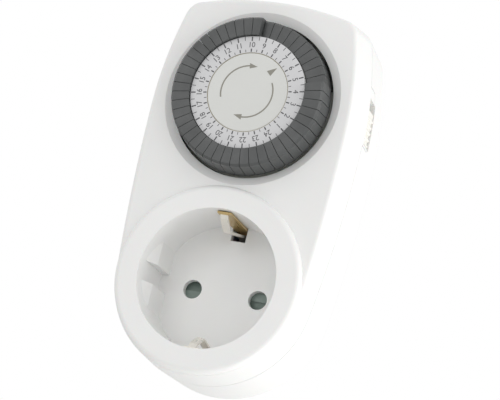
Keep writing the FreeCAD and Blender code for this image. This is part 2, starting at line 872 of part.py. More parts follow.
def drive_pinion():
    pinion = gear(drive_teeth, dial_module, dial_gear_y, dial_gear_back_y, drive_x, drive_z,
                  drive_pinion_bearing + 180, short_addendum)
    return pinion.cut(rod(shaft_radius + running_clearance, dial_gear_y - past, dial_gear_back_y + past, drive_x, drive_z))


def gear_axles():
    axles = [rod(axle_radius, plate_y, level_one_y + train_wheel_width + 0.2, x, z)
             for x, z in (wheel_a_place, wheel_b_place)]
    axles.append(rod(axle_radius, level_one_y - 0.4, can_back_y - can_wall, can_x, can_z))
    return Part.makeCompound(axles)


# Follower, contacts and switch

def follower_lever():
    tip_x = follower_x - finger_offset
    low = follower_z - lever_half + finger_trim
    high = follower_z + lever_half - finger_trim / 2
    finger = block(tip_x - finger_half, tip_x + finger_half, tail_lowered_y + seat_gap, hinge_y, low, high)
    arm = block(tip_x - finger_half, hinge_x - past, hinge_y - 0.5, hinge_y + 0.7, low, high)
    peg = block(blade_x - lever_half, blade_x + lever_half, hinge_y, blade_y - seat_gap, low, high)
    hub_half = ear_gap - 0.5
    hub = Part.makeCylinder(lever_hub_radius, 2 * hub_half, V(hinge_x, hinge_y, follower_z - hub_half), V(0, 0, 1))
    hole = Part.makeCylinder(lever_bore_radius, 12, V(hinge_x, hinge_y, follower_z - 6), V(0, 0, 1))
    return join([finger, arm, peg, hub]).cut(hole)


def follower_axle():
    half = ear_gap + ear_height - 0.1
    return Part.makeCylinder(lever_axle_radius, 2 * half, V(hinge_x, hinge_y, follower_z - half), V(0, 0, 1))


def contact_blade():
    top = follower_z + 0.7
    leaf = block(blade_x - blade_width / 2, blade_x + blade_width / 2, blade_y, blade_y + blade_thickness,
                 blade_root_z, top)
    button = rod(contact_radius, blade_y + blade_thickness - 0.1, blade_y + blade_thickness + 0.8, blade_x, contact_z)
    bump = block(blade_x - 1.5, blade_x + 1.5, blade_y - 1.0, blade_y + 0.1, bump_low_z, bump_high_z)
    return join([leaf, button, bump])


def fixed_contact():
    y0 = blade_y + blade_thickness + 1.1
    x0 = blade_x + blade_width / 2 + 1.0
    tab_y = y0 + 0.6
    bar_y = tab_y + feed_rise
    feed_end_x = feed_x + feed_width
    low = contact_z - contact_half
    high = contact_z + contact_half
    sleeve_x = pin_pitch / 2 + sleeve_outer
    pieces = [
        rod(contact_radius, y0, y0 + 0.7, blade_x, contact_z),
        block(blade_x - blade_width / 2, x0 + feed_width, tab_y, tab_y + strip, low, high),
        block(x0, x0 + feed_width, tab_y, bar_y + strip, high - strip, high),
        block(x0, x0 + feed_width, bar_y, bar_y + strip, feed_low_z, high),
        block(feed_x, x0 + feed_width, bar_y, bar_y + strip, feed_low_z, feed_low_z + feed_width),
        block(feed_x, feed_end_x, bar_y, bar_y + strip, -feed_width / 2, feed_low_z + feed_width),
        block(sleeve_x - seat_gap, feed_end_x, bar_y, bar_y + strip, -feed_width / 2, feed_width / 2),
    ]
    return join(pieces).cut(rod(sleeve_outer, bar_y - past, bar_y + 2, pin_pitch / 2))


def switch_base():
    x0 = blade_x - blade_width / 2 - 0.3
    x1 = blade_x + blade_width / 2 + 0.3
    block_low = blade_root_z - 6.0
    solid = block(x0, x1, plate_back_y, blade_y, block_low, blade_root_z - 0.15)
    side = block(x1, x1 + 4.4, plate_back_y, blade_y + blade_thickness + 5.0, block_low, blade_root_z - 1.5)
    return join([solid, side])


# Override slider in the side window

slider_inner_x = half_width(rear_outline) - wall - slider_flange - slider_seat


def slider_face_x():
    return (half_width(parting_outline) + half_width(rear_outline)) / 2 - slider_sink


def override_slider():
    y0 = parting_y + window_front + window_play
    y1 = parting_y + window_front + window_depth_y - window_play
    low = window_low_z + window_play
    knob_high = low + knob_length
    flange = block(slider_inner_x, slider_inner_x + slider_flange, y0 - 0.7, y1 + 0.7, low - 1.0, window_high_z + 0.6)
    cover = block(slider_inner_x + 0.5, slider_face_x() - 0.9, y0, y1, low, knob_high)
    knob = block(slider_inner_x + 0.5, slider_face_x() - 0.2, y0 + 1.2, y1, low, knob_high)
    pieces = [flange, cover, knob]
    z = low + 0.7
    while z + 0.8 < knob_high:
        rib = Part.makeCylinder(rib_radius, y1 - y0 - 1.5, V(slider_face_x() - 0.25, y0 + 1.35, z + 0.3), V(0, 1, 0))
        pieces.append(rib)
        z += rib_pitch
    lug = block(blade_x - past, slider_inner_x + 0.4, blade_y - 2.3, blade_y - 1.3, lug_low_z, lug_high_z)
    return join(pieces + [lug])


def detent_spring():
    foot = block(21.0, 25.0, plate_back_y, plate_back_y + 0.4, 57.0, 61.0)
    foot = foot.common(block(0, plate_half_width, plate_back_y - past, plate_back_y + 3, 0, 100))
    leaf = block(plate_half_width - 0.4, plate_half_width, plate_back_y, plate_back_y + 6, 55.0, 61.0)
    bump = block(plate_half_width - 0.1, slider_inner_x - seat_gap, plate_back_y + 2.5, plate_back_y + 5, 57.5, 58.5)
    return join([foot, leaf, bump])


def motor_leads():
    neutral_rise = can_z - 16 - riser_top_z
    neutral = Part.makeCylinder(lead_radius, neutral_rise, V(0.5 - pin_pitch / 2, lead_y, riser_top_z), V(0, 0, 1))
    line = Part.makeCylinder(lead_radius, 8, V(2.0, lead_y, 31.5), V(0, 0, 1))
    hook = Part.makeCylinder(lead_radius, 5.0 + lead_radius, V(2.0 - lead_radius, lead_y, 32.0), V(1, 0, 0))
    return Part.makeCompound([neutral, line.fuse(hook)])


def build():
    save("front_cover", front_cover())
    save("rear_cover", rear_cover())
    save("mechanism_plate", mechanism_plate())
    save("case_screws", case_screws())
    save("plate_screws", plate_screws())
    save("dial_carrier", dial_carrier())
    save("dial_plate", dial_plate())
    save("hub_cap", hub_cap())
    for hour in range(1, 25):
        save("trip_pins_%02d" % hour, trip_pair(hour))
    save("drive_pinion", drive_pinion())
    save("output_wheel", output_wheel())
    save("reduction_wheel_a", reduction_wheel_a())
    save("reduction_wheel_b", reduction_wheel_b())
    save("gear_axles", gear_axles())
    save("rotor", rotor())
    save("coil_bobbin", coil_bobbin())
    save("coil_winding", coil_winding())
    save("motor_can", motor_can())
    save("motor_leads", motor_leads())
    save("follower_lever", follower_lever())
    save("follower_axle", follower_axle())
    save("contact_blade", contact_blade())
    save("fixed_contact", fixed_contact())
    save("switch_base", switch_base())
    save("override_slider", override_slider())
    save("detent_spring", detent_spring())
    save("line_pin", plug_pin(pin_pitch / 2))
    save("neutral_pin", plug_pin(-pin_pitch / 2))
    save("line_sleeve", sleeve(pin_pitch / 2, -sleeve_back_depth))
    save("neutral_sleeve", sleeve(-pin_pitch / 2, pin_root_y - strip))
    save("line_bar", line_bar())
    save("neutral_link", neutral_link())
    save("earth_strip_top", earth_strip())
    save("earth_strip_bottom", flipped_z(earth_strip()))
    save("earth_link", earth_link())
    save("shutter", shutter())
    save("shutter_spring", shutter_spring())


build()
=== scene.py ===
# %% [markdown]
# A plug in timer switch, as a lesson in building looks on a measured frame.
# The frame holds every solid at its real size. This script gives each one its surface, and adds what is
# printed or too fine for the solids. On the real object the case is injection moulded, and the scale is
# pad printed on the turning ring, so the two are kept apart here as well.

# %% Load the frame
import json
import math

import bmesh
import bpy
from mathutils import Matrix, Vector


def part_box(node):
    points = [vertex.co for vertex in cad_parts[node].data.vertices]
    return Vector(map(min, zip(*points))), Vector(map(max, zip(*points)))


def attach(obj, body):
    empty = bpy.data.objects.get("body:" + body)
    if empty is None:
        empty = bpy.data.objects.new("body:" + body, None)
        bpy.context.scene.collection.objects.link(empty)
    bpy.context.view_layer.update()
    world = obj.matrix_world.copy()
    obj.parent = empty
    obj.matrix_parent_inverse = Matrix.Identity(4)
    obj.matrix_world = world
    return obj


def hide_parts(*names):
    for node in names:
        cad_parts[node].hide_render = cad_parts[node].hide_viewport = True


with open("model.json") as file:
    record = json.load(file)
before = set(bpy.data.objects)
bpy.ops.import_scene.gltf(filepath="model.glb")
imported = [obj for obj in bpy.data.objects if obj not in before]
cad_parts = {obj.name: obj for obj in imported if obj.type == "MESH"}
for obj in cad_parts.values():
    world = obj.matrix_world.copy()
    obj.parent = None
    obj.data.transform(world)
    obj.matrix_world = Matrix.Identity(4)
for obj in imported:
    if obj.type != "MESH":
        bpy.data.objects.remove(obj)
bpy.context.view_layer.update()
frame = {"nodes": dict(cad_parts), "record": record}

MM = 0.001

# %% [markdown]
# The dial turns once in a day, so one hour is 15 degrees of it. Places on its face are given by a radius
# and an angle, in millimetres and degrees, as a drawing would give them. They could be typed in metres
# where they are used, but two small helpers keep the sums in one place.

# %% Sizes
DIAL_Z = 51.6
FACE_Y = -51.0
HOURS = 24
FULL_TURN = 360.0
HOUR_STEP = FULL_TURN / HOURS
DIAL_PHASE = 98.28
HOUR_AT_PHASE = 10


def hour_angle(hour):
    return DIAL_PHASE + (hour - HOUR_AT_PHASE) * HOUR_STEP


def polar(radius, degrees, y=FACE_Y):
    a = math.radians(degrees)
    return Vector((radius * math.cos(a), y, DIAL_Z + radius * math.sin(a))) * MM


print("one tick every", HOUR_STEP / 2, "degrees")

# %% [markdown]
# Surfaces. Moulded plastic is never one flat value: the mould's spark-eroded skin leaves a fine grain, the
# gloss drifts where the melt cooled, and handling leaves faint patches. Three noises at three sizes,
# read in the object's own space, give that. A picture of the surface could be wrapped on instead, but it
# would stretch over the rounded shoulders and would have to be drawn for every piece.

# %% Helpers for shader nodes
NOISE_LOW = 0.3
NOISE_HIGH = 0.7


def new_material(name):
    mat = bpy.data.materials.new(name)
    mat.use_nodes = True
    mat.node_tree.nodes.clear()
    return mat, mat.node_tree


def add_node(tree, kind, **inputs):
    node = tree.nodes.new(kind)
    for key, value in inputs.items():
        node.inputs[key.replace("_", " ")].default_value = value
    return node


def math_node(tree, operation, a, b=0.0):
    node = tree.nodes.new("ShaderNodeMath")
    node.operation = operation
    for slot, value in enumerate((a, b)):
        if isinstance(value, (int, float)):
            node.inputs[slot].default_value = value
        else:
            tree.links.new(value, node.inputs[slot])
    return node.outputs[0]


def noise_value(tree, coords, scale, detail=3.0, rough=0.5, stretch=(1, 1, 1)):
    mapping = add_node(tree, "ShaderNodeMapping")
    mapping.inputs["Scale"].default_value = stretch
    tree.links.new(coords, mapping.inputs["Vector"])
    noise = add_node(tree, "ShaderNodeTexNoise", Scale=scale, Detail=detail, Roughness=rough)
    tree.links.new(mapping.outputs["Vector"], noise.inputs["Vector"])
    return noise.outputs["Fac"]


def remap(tree, value, low, high):
    node = add_node(tree, "ShaderNodeMapRange")
    node.inputs["From Min"].default_value = NOISE_LOW
    node.inputs["From Max"].default_value = NOISE_HIGH
    node.inputs["To Min"].default_value = low
    node.inputs["To Max"].default_value = high
    tree.links.new(value, node.inputs["Value"])
    return node.outputs["Result"]


def tinted(tree, value, colour, other):
    mix = tree.nodes.new("ShaderNodeMix")
    mix.data_type = "RGBA"
    mix.inputs[6].default_value = (*colour, 1)
    mix.inputs[7].default_value = (*other, 1)
    tree.links.new(value, mix.inputs[0])
    return mix.outputs[2]


def bumped(tree, height, strength, distance):
    bump = add_node(tree, "ShaderNodeBump", Strength=strength, Distance=distance)
    tree.links.new(height, bump.inputs["Height"])
    return bump.outputs["Normal"]


def finish_material(tree, colour, rough, normal, **fixed):
    shader = tree.nodes.new("ShaderNodeBsdfPrincipled")
    for key, value in fixed.items():
        shader.inputs[key.replace("_", " ")].default_value = value
    tree.links.new(colour, shader.inputs["Base Color"])
    tree.links.new(rough, shader.inputs["Roughness"])
    tree.links.new(normal, shader.inputs["Normal"])
    out = tree.nodes.new("ShaderNodeOutputMaterial")
    tree.links.new(shader.outputs[0], out.inputs["Surface"])


print("noise is spread from", NOISE_LOW, "to", NOISE_HIGH)

# %% [markdown]
# Plastic. Its grain is a few tenths of a millimetre wide, the gloss drifts over some millimetres, and the
# patches are wider still. A flat colour would be quicker, but it looks like paint on paper. Here grain and
# patches both feed one bump, so that the light breaks on them as on a moulded skin.

# %% Plastic
PATCH_SCALE = 60.0
PATCH_SHARE = 0.8
GLOSS_SCALE = 140.0
GRAIN_DISTANCE = 0.00004


def plastic(name, colour, rough=0.42, grain=2600.0, depth=0.06, drift=0.06, patch=0.94, **fixed):
    mat, tree = new_material(name)
    coords = tree.nodes.new("ShaderNodeTexCoord").outputs["Object"]
    fine = noise_value(tree, coords, grain, 2.0)
    patches = noise_value(tree, coords, PATCH_SCALE, 4.0, 0.6)
    other = tuple(c * patch for c in colour)
    tone = tinted(tree, patches, colour, other)
    gloss = remap(tree, noise_value(tree, coords, GLOSS_SCALE, 5.0, 0.6), rough - drift, rough + drift)
    height = math_node(tree, "ADD", fine, math_node(tree, "MULTIPLY", patches, PATCH_SHARE))
    finish_material(tree, tone, gloss, bumped(tree, height, depth, GRAIN_DISTANCE), **fixed)
    return mat


print("patches up to", round(1 / PATCH_SCALE / MM), "mm wide")

# %% [markdown]
# Metal. Rolled strip and drawn pins carry fine lines along the way they were pulled, and a dull tarnish
# gathers on them in places. The lines could be modelled as scratches, but they are far too fine. A noise
# that is stretched along one axis gives them, and a second, wider noise gives the tarnish.

# %% Metal
DRAWN_SCALE = 1500.0
DRAWN_STRENGTH = 0.12
STAIN_SCALE = 210.0
STAIN_MOST = 0.75
LINE_DISTANCE = 0.000008
SHINIER = 0.06
DULLER = 0.10


def metal(name, colour, rough=0.25, along=(1, 1, 1), tarnish=(0.7, 0.62, 0.5)):
    mat, tree = new_material(name)
    coords = tree.nodes.new("ShaderNodeTexCoord").outputs["Object"]
    drawn = noise_value(tree, coords, DRAWN_SCALE, 3.0, 0.5, along)
    stain = noise_value(tree, coords, STAIN_SCALE, 5.0, 0.65)
    dulled = tuple(a * b for a, b in zip(colour, tarnish))
    tone = tinted(tree, remap(tree, stain, 0.0, STAIN_MOST), colour, dulled)
    gloss = remap(tree, drawn, rough - SHINIER, rough + DULLER)
    finish_material(tree, tone, gloss, bumped(tree, drawn, DRAWN_STRENGTH, LINE_DISTANCE), Metallic=1.0)
    return mat


print("drawn lines up to", round(1 / DRAWN_SCALE / MM, 2), "mm wide")

# %% [markdown]
# The earth clips are nickelled strip. The leg of the upper one, which lies against the wall of the well,
# is painted a darker brown as painted shade, where the wall shades it, and the tongue in front of it stays
# pale. Each part of the clip could have a material of its own, but the height above the well's middle
# tells them apart, so one serves both clips. The coil wire is copper under a clear lacquer, which runs in
# streaks and gets a thin coat over the metal.

# %% Clip metal and wire
SHADED_LEG_LEVEL = 18.3
CLIP_STAIN_SCALE = 260.0
CLIP_STAIN_SHARE = 0.25
CLIP_ALONG = (1, 0.12, 0.3)
LACQUER_SCALE = 500.0
LACQUER_DISTANCE = 0.00002


def clip_metal(name, colour, brown):
    mat, tree = new_material(name)
    coords = tree.nodes.new("ShaderNodeTexCoord").outputs["Object"]
    split = tree.nodes.new("ShaderNodeSeparateXYZ")
    tree.links.new(coords, split.inputs[0])
    # Above this height the strip is painted a darker brown: painted shade of the well's wall.
    painted_shade_leg = math_node(tree, "GREATER_THAN", split.outputs[2], SHADED_LEG_LEVEL * MM)
    stain = noise_value(tree, coords, CLIP_STAIN_SCALE, 4.0, 0.6)
    share = math_node(tree, "MAXIMUM", painted_shade_leg, math_node(tree, "MULTIPLY", stain, CLIP_STAIN_SHARE))
    drawn = noise_value(tree, coords, DRAWN_SCALE, 3.0, 0.5, CLIP_ALONG)
    finish_material(tree, tinted(tree, share, colour, brown), remap(tree, drawn, 0.26, 0.40),
                    bumped(tree, drawn, 0.1, LINE_DISTANCE), Metallic=0.4)
    return mat


def wire_lacquer(name, colour):
    mat, tree = new_material(name)
    coords = tree.nodes.new("ShaderNodeTexCoord").outputs["Object"]
    runs = noise_value(tree, coords, LACQUER_SCALE, 4.0)
    tone = tinted(tree, runs, colour, tuple(c * 0.7 for c in colour))
    finish_material(tree, tone, remap(tree, runs, 0.2, 0.4), bumped(tree, runs, 0.1, LACQUER_DISTANCE),
                    Metallic=0.7, Coat_Weight=0.6)
    return mat


print("the clip is brown above", SHADED_LEG_LEVEL, "mm")

# %% [markdown]
# The white case carries one thing more. The floor of the well shows faint round marks where the mould's
# ejector pins pushed the part out. They could be cut into the solid, but they are shallower than its
# surfaces can show, so the distance from each mark's centre presses a thin ring into the bump.

# %% White case
FLOOR_Y = -29.8
MARKS = ((0.2, 10.8, 1.9), (-0.9, -0.1, 1.9))
MARK_DEPTH = 1.5
GRAIN_SHARE = 0.5
MARK_HALF_WIDTH = 0.12
FLOOR_BAND = 0.3
CASE_GRAIN_SCALE = 2100.0
CASE_PATCH_SCALE = 45.0
CASE_GLOSS_SCALE = 110.0
CASE_BUMP_DISTANCE = 0.00005


def within(tree, value, target, reach):
    answer = math_node(tree, "COMPARE", value, target)
    answer.node.inputs[2].default_value = reach * MM
    return answer


def ring_marks(tree, coords):
    split = tree.nodes.new("ShaderNodeSeparateXYZ")
    tree.links.new(coords, split.inputs[0])
    x, y, z = split.outputs
    on_floor = within(tree, y, FLOOR_Y * MM, FLOOR_BAND)
    total = None
    for cx, cz, radius in MARKS:
        dx = math_node(tree, "SUBTRACT", x, cx * MM)
        dz = math_node(tree, "SUBTRACT", z, cz * MM)
        across = math_node(tree, "POWER", dx, 2.0)
        squares = math_node(tree, "ADD", across, math_node(tree, "POWER", dz, 2.0))
        away = math_node(tree, "SUBTRACT", math_node(tree, "SQRT", squares), radius * MM)
        ring = within(tree, away, 0.0, MARK_HALF_WIDTH)
        total = ring if total is None else math_node(tree, "MAXIMUM", total, ring)
    return math_node(tree, "MULTIPLY", total, on_floor)


def case_plastic(name, colour):
    mat, tree = new_material(name)
    coords = tree.nodes.new("ShaderNodeTexCoord").outputs["Object"]
    fine = noise_value(tree, coords, CASE_GRAIN_SCALE, 2.0)
    patches = noise_value(tree, coords, CASE_PATCH_SCALE, 4.0, 0.6)
    marks = ring_marks(tree, coords)
    tone = tinted(tree, patches, colour, tuple(c * 0.97 for c in colour))
    gloss = remap(tree, noise_value(tree, coords, CASE_GLOSS_SCALE, 5.0, 0.6), 0.36, 0.50)
    grain = math_node(tree, "MULTIPLY", fine, GRAIN_SHARE)
    height = math_node(tree, "SUBTRACT", grain, math_node(tree, "MULTIPLY", marks, MARK_DEPTH))
    finish_material(tree, tone, gloss, bumped(tree, height, 0.10, CASE_BUMP_DISTANCE),
                    Subsurface_Weight=0.05, Subsurface_Scale=0.001)
    return mat


print("round marks:", len(MARKS))

# %% [markdown]
# One surface for each slot of the frame, and three more for the print and the seam. Each could have a
# function of its own, but a table keeps them comparable. The base colour comes first, then the roughness.
# Where a plastic differs from the rest, there follow the scale and depth of its grain, the drift of its
# gloss, and how much its patches change the colour. A metal adds the way of its lines and its tarnish.

# %% Surfaces by slot
SURFACES = {
    "case_white": case_plastic("case_white", (0.915, 0.915, 0.905)),
    "dial_white": plastic("dial_white", (0.68, 0.68, 0.69), 0.38, depth=0.04, patch=0.98),
    "hub_cream": plastic("hub_cream", (0.72, 0.725, 0.70), 0.40, depth=0.05, patch=0.97),
    "slider_cream": plastic("slider_cream", (0.90, 0.885, 0.83), 0.36, depth=0.05, patch=0.96),
    "trip_grey": plastic("trip_grey", (0.060, 0.063, 0.063), 0.37, 3200.0, 0.12, 0.09, 1.4),
    "shutter_green": plastic("shutter_green", (0.17, 0.22, 0.195), 0.42, 2800.0, 0.10, 0.08, 1.4),
    "frame_nylon": plastic("frame_nylon", (0.62, 0.61, 0.55), 0.46, Subsurface_Weight=0.1),
    "gear_acetal": plastic("gear_acetal", (0.70, 0.66, 0.52), 0.33, Subsurface_Weight=0.1),
    "switch_phenolic": plastic("switch_phenolic", (0.10, 0.055, 0.035), 0.30, 900.0, 0.2, 0.1, 1.6),
    "magnet_black": plastic("magnet_black", (0.028, 0.028, 0.032), 0.52, 1500.0, 0.3, 0.1, 1.7),
    "lead_red": plastic("lead_red", (0.33, 0.03, 0.025), 0.44),
    "print_dark": plastic("print_dark", (0.085, 0.085, 0.09), 0.6, patch=1.25),
    "print_olive": plastic("print_olive", (0.27, 0.26, 0.225), 0.6, patch=1.15),
    "seam_amber": plastic("seam_amber", (0.42, 0.36, 0.22), 0.5, patch=0.8),
    "screw_steel": metal("screw_steel", (0.62, 0.62, 0.60), 0.34),
    "can_zinc": metal("can_zinc", (0.64, 0.66, 0.66), 0.38, (1, 0.1, 1), (0.82, 0.84, 0.86)),
    "spring_steel": metal("spring_steel", (0.50, 0.50, 0.51), 0.28, (0.2, 1, 1)),
    "contact_brass": metal("contact_brass", (0.80, 0.60, 0.28), 0.24, (1, 1, 0.15), (0.75, 0.6, 0.5)),
    # The second colour is the painted shade on the leg that lies against the well's wall.
    "nickel_strip": clip_metal("nickel_strip", (0.90, 0.885, 0.84), (0.60, 0.44, 0.20)),
    "nickel_pin": metal("nickel_pin", (0.76, 0.74, 0.70), 0.20, (1, 0.1, 1), (0.86, 0.83, 0.78)),
    "coil_wire": wire_lacquer("coil_wire", (0.48, 0.16, 0.05)),
}
print("surfaces:", len(SURFACES))

# %% [markdown]
# Dressing the solids. Each solid takes the surface of its slot. Real edges are never perfectly sharp: the
# mould rounds the tops of the trip pins, and a press leaves a finer round on the strips. The rounds could
# be cut in the solids, but a narrow bevel on the mesh catches the light just as well.

# %% Surfaces and edge rounds on the solids
ROUNDS = {
    "trip_pins": 0.16, "earth_strip": 0.12, "override_slider": 0.10, "dial_plate": 0.08,
    "shutter": 0.15, "front_cover": 0.12, "rear_cover": 0.12,
}
SHARP_ANGLE = math.radians(34)
ROUND_SEGMENTS = 2
NOT_ROUNDED = "shutter_spring"


def round_edges(obj, width):
    bevel = obj.modifiers.new("edge_round", "BEVEL")
    bevel.width = width * MM
    bevel.segments = ROUND_SEGMENTS
    bevel.limit_method = "ANGLE"
    bevel.angle_limit = SHARP_ANGLE
    bevel.harden_normals = False
    even = obj.modifiers.new("even_normals", "WEIGHTED_NORMAL")
    even.keep_sharp = True


def dress_solids():
    slots = {row["node"]: row["material_slot"] for row in frame["record"]["subparts"]}
    for node, obj in frame["nodes"].items():
        obj.data.materials.clear()
        obj.data.materials.append(SURFACES[slots[node]])
        for start, width in ROUNDS.items():
            if node.startswith(start) and node != NOT_ROUNDED:
                round_edges(obj, width)
    return len(slots)


print("dressed:", dress_solids())

# %% [markdown]
# Small builders. Ink stands a little proud of the plastic. It could be a picture on the dial, but a closed
# outline with a hair of thickness keeps a crisp edge from close by. Everything is placed in the frame's
# own space, with the object left at zero.

# %% Mesh builders
PRINT_HEIGHT = 0.02


def mesh_object(name, bm, surface):
    bmesh.ops.recalc_face_normals(bm, faces=bm.faces)
    mesh = bpy.data.meshes.new(name)
    bm.to_mesh(mesh)
    bm.free()
    obj = bpy.data.objects.new(name, mesh)
    bpy.context.scene.collection.objects.link(obj)
    mesh.materials.append(SURFACES[surface])
    return obj


def raised_outline(bm, points):
    rise = Vector((0, PRINT_HEIGHT * MM, 0))
    front = [bm.verts.new(p - rise) for p in points]
    back = [bm.verts.new(p + rise) for p in points]
    count = len(points)
    bm.faces.new(front)
    bm.faces.new(back[::-1])
    for i in range(count):
        j = (i + 1) % count
        bm.faces.new((front[i], front[j], back[j], back[i]))


def settle(obj, body):
    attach(obj, body)
    return obj


print("print stands", PRINT_HEIGHT, "mm proud")

# %% [markdown]
# The scale. Two rows of ticks stand round the numbers, a long thick one on each hour and a short thin one
# on each half. A rule repeats them, so a node tree lays points round a circle and sets a bar on each one.
# Its inputs carry the sizes, and the same tree is used four times.

# %% Node tree for a row of ticks
def link_value(tree, source, node, key):
    tree.links.new(source, node.inputs[key])


def tick_tree():
    tree = bpy.data.node_groups.new("tick_row", "GeometryNodeTree")
    sizes = ("Radius", "Length", "Width", "Thickness", "Level", "Centre Height", "Phase", "Step")
    for title in sizes:
        tree.interface.new_socket(title, in_out="INPUT", socket_type="NodeSocketFloat")
    tree.interface.new_socket("Count", in_out="INPUT", socket_type="NodeSocketInt")
    tree.interface.new_socket("Surface", in_out="INPUT", socket_type="NodeSocketMaterial")
    tree.interface.new_socket("Geometry", in_out="OUTPUT", socket_type="NodeSocketGeometry")
    given = tree.nodes.new("NodeGroupInput").outputs
    points = tree.nodes.new("GeometryNodePoints")
    link_value(tree, given["Count"], points, "Count")
    index = tree.nodes.new("GeometryNodeInputIndex").outputs[0]
    turn = math_node(tree, "ADD", math_node(tree, "MULTIPLY", index, given["Step"]), given["Phase"])
    place = tree.nodes.new("ShaderNodeCombineXYZ")
    across = math_node(tree, "MULTIPLY", math_node(tree, "COSINE", turn), given["Radius"])
    up = math_node(tree, "MULTIPLY", math_node(tree, "SINE", turn), given["Radius"])
    link_value(tree, across, place, "X")
    link_value(tree, given["Level"], place, "Y")
    link_value(tree, math_node(tree, "ADD", up, given["Centre Height"]), place, "Z")
    link_value(tree, place.outputs[0], points, "Position")
    size = tree.nodes.new("ShaderNodeCombineXYZ")
    for axis, title in zip("XYZ", ("Length", "Thickness", "Width")):
        link_value(tree, given[title], size, axis)
    bar = tree.nodes.new("GeometryNodeMeshCube")
    link_value(tree, size.outputs[0], bar, "Size")
    spin = tree.nodes.new("ShaderNodeCombineXYZ")
    link_value(tree, math_node(tree, "MULTIPLY", turn, -1.0), spin, "Y")
    lay = tree.nodes.new("GeometryNodeInstanceOnPoints")
    link_value(tree, points.outputs[0], lay, "Points")
    link_value(tree, bar.outputs[0], lay, "Instance")
    link_value(tree, spin.outputs[0], lay, "Rotation")
    real = tree.nodes.new("GeometryNodeRealizeInstances")
    link_value(tree, lay.outputs[0], real, 0)
    paint = tree.nodes.new("GeometryNodeSetMaterial")
    link_value(tree, real.outputs[0], paint, "Geometry")
    link_value(tree, given["Surface"], paint, "Material")
    out = tree.nodes.new("NodeGroupOutput")
    link_value(tree, paint.outputs[0], out, 0)
    return tree


TICKS = tick_tree()
print("inputs of the tick tree:", len(TICKS.interface.items_tree) - 1)

# %% [markdown]
# A tree only describes a shape. It could stay on a piece as a modifier, but a plain mesh is safer for the
# steps that read the file later. So an empty mesh carries the tree, each input is set by the identifier of
# its socket, and the evaluated result is copied out. The carrier is thrown away.

# %% Run a node tree
def run_tree(name, tree, inputs):
    carrier = bpy.data.objects.new(name + "_carrier", bpy.data.meshes.new(name))
    bpy.context.scene.collection.objects.link(carrier)
    modifier = carrier.modifiers.new("tree", "NODES")
    modifier.node_group = tree
    for item in tree.interface.items_tree:
        if item.in_out == "INPUT" and item.name in inputs:
            modifier[item.identifier] = inputs[item.name]
    depsgraph = bpy.context.evaluated_depsgraph_get()
    mesh = bpy.data.meshes.new_from_object(carrier.evaluated_get(depsgraph))
    carrier.modifiers.remove(modifier)
    bpy.data.objects.remove(carrier)
    obj = bpy.data.objects.new(name, mesh)
    bpy.context.scene.collection.objects.link(obj)
    return obj


print("nodes in the tick tree:", len(TICKS.nodes))

# %% [markdown]
# The ticks are printed in four rows: hours and half hours, outside the numbers and inside them. Each could
# be drawn by itself, but one tree with four sets of sizes is shorter. The half-hour marks are shorter and
# thinner, and start half an hour further round. All ride on the dial.

# %% Rows of ticks
OUTER_TICKS = (14.61, 15.88)
INNER_TICKS = (11.50, 12.41)
HOUR_TICK_WIDTH = 0.33
HALF_TICK_WIDTH = 0.17
HALF_TICK_CUT = 0.22


def tick_row(name, inner, outer, width, first_hour):
    return run_tree(name, TICKS, {
        "Radius": (inner + outer) / 2 * MM, "Length": (outer - inner) * MM, "Width": width * MM,
        "Thickness": 2 * PRINT_HEIGHT * MM, "Level": FACE_Y * MM, "Centre Height": DIAL_Z * MM,
        "Phase": math.radians(hour_angle(first_hour)), "Step": math.radians(HOUR_STEP), "Count": HOURS,
        "Surface": SURFACES["print_dark"]})


def scale_rows():
    rows = (("outer_hours", OUTER_TICKS[0], OUTER_TICKS[1], HOUR_TICK_WIDTH, 0.0),
            ("outer_halves", OUTER_TICKS[0] + HALF_TICK_CUT, OUTER_TICKS[1], HALF_TICK_WIDTH, 0.5),
            ("inner_hours", INNER_TICKS[0], INNER_TICKS[1], HOUR_TICK_WIDTH, 0.0),
            ("inner_halves", INNER_TICKS[0], INNER_TICKS[1] - HALF_TICK_CUT, HALF_TICK_WIDTH, 0.5))
    for name, inner, outer, width, first in rows:
        settle(tick_row("ticks_" + name, inner, outer, width, first), "dial")
    return len(rows) * HOURS


print("ticks:", scale_rows())

# %% [markdown]
# The numbers 1 to 24 are printed with their tops outward, so each reads upright as it comes to the top of
# the dial. They could be drawn as outlines, but type gives true figures. Each is set as type, made into a
# mesh and turned to its own hour, and all are joined into one piece.

# %% Dial numbers
NUMBER_RADIUS = 13.48
NUMBER_SIZE = 2.15
NUMBER_SPACING = 0.92
NUMBER_STEPS = 3
WELD_DISTANCE = 0.000001


def number_mesh(bm, hour):
    text = bpy.data.curves.new("number", "FONT")
    text.body = str(hour)
    text.align_x = "CENTER"
    text.align_y = "CENTER"
    text.size = NUMBER_SIZE * MM
    text.space_character = NUMBER_SPACING
    text.extrude = PRINT_HEIGHT * MM
    text.resolution_u = NUMBER_STEPS
    carrier = bpy.data.objects.new("number", text)
    bpy.context.scene.collection.objects.link(carrier)
    depsgraph = bpy.context.evaluated_depsgraph_get()
    mesh = bpy.data.meshes.new_from_object(carrier.evaluated_get(depsgraph))
    a = math.radians(hour_angle(hour))
    right = Vector((math.sin(a), 0, -math.cos(a)))
    outward = Vector((math.cos(a), 0, math.sin(a)))
    toward = Vector((0, -1, 0))
    turn = Matrix((right, outward, toward)).transposed().to_4x4()
    mesh.transform(Matrix.Translation(polar(NUMBER_RADIUS, hour_angle(hour))) @ turn)
    bm.from_mesh(mesh)
    bpy.data.objects.remove(carrier)
    bpy.data.meshes.remove(mesh)


def dial_numbers():
    bm = bmesh.new()
    for hour in range(1, HOURS + 1):
        number_mesh(bm, hour)
    bmesh.ops.remove_doubles(bm, verts=bm.verts, dist=WELD_DISTANCE)
    return settle(mesh_object("dial_numbers", bm, "print_dark"), "dial")


print("number faces:", len(dial_numbers().data.polygons))

